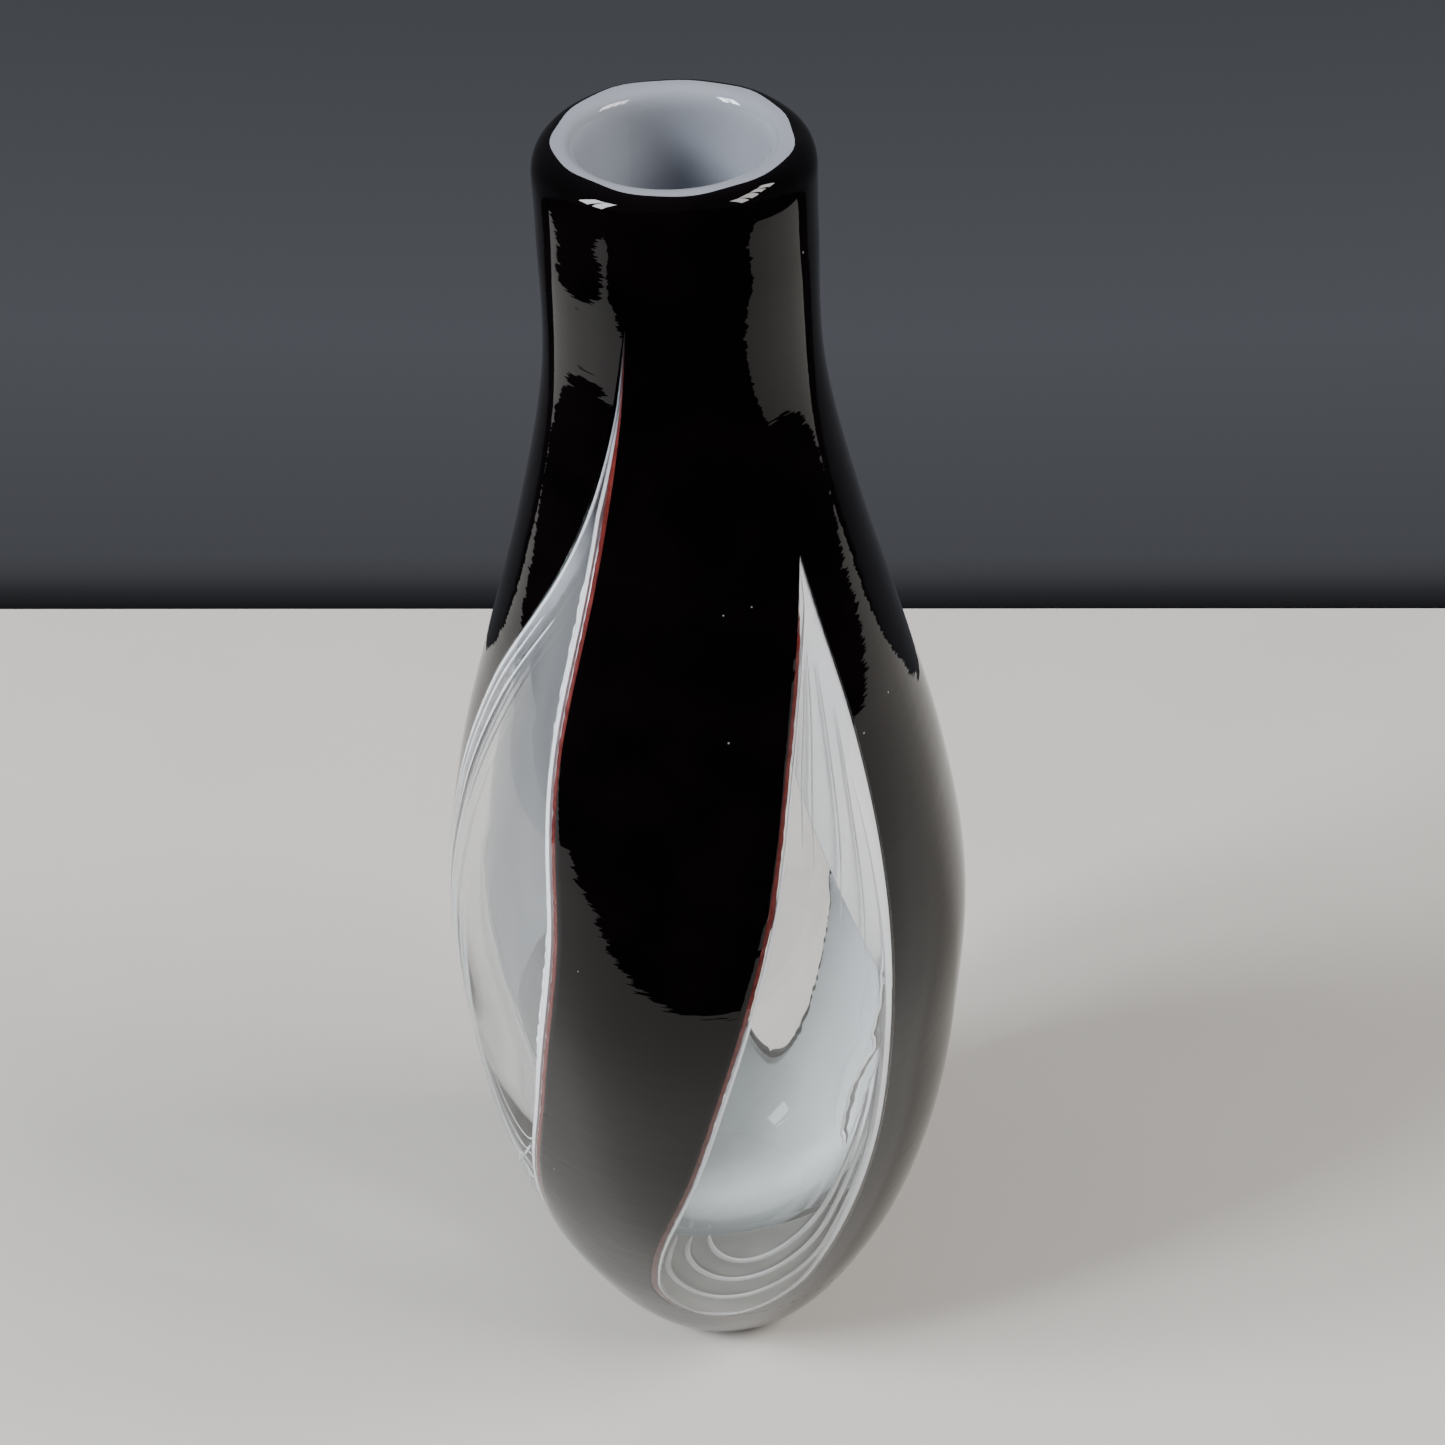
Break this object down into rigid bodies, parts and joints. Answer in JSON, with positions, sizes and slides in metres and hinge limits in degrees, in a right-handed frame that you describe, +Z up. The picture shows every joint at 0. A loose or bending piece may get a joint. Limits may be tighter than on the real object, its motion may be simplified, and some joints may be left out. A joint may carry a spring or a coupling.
{
  "type": "glass vase",
  "caption": "Tall rounded bottle vase in black glass over white, with swirling teardrop windows of clear glass and a thick clear heel.",
  "frame": {"origin": "centre of the flat foot, on the table", "axes": "+Z up the axis of the vase; -Y is the side seen from the front, between the two front windows"},
  "size_m": [0.0901, 0.0901, 0.25],
  "materials": {
    "black_glass": "polished",
    "opal_glass": "polished",
    "clear_glass": "polished"
  },
  "bodies": {
    "root": {"black_overlay": "black_glass", "opal_layer": "opal_glass", "clear_heel": "clear_glass", "window_tall_front": "clear_glass", "window_short_front": "clear_glass", "window_tall_back": "clear_glass"}
  },
  "joints": []
}
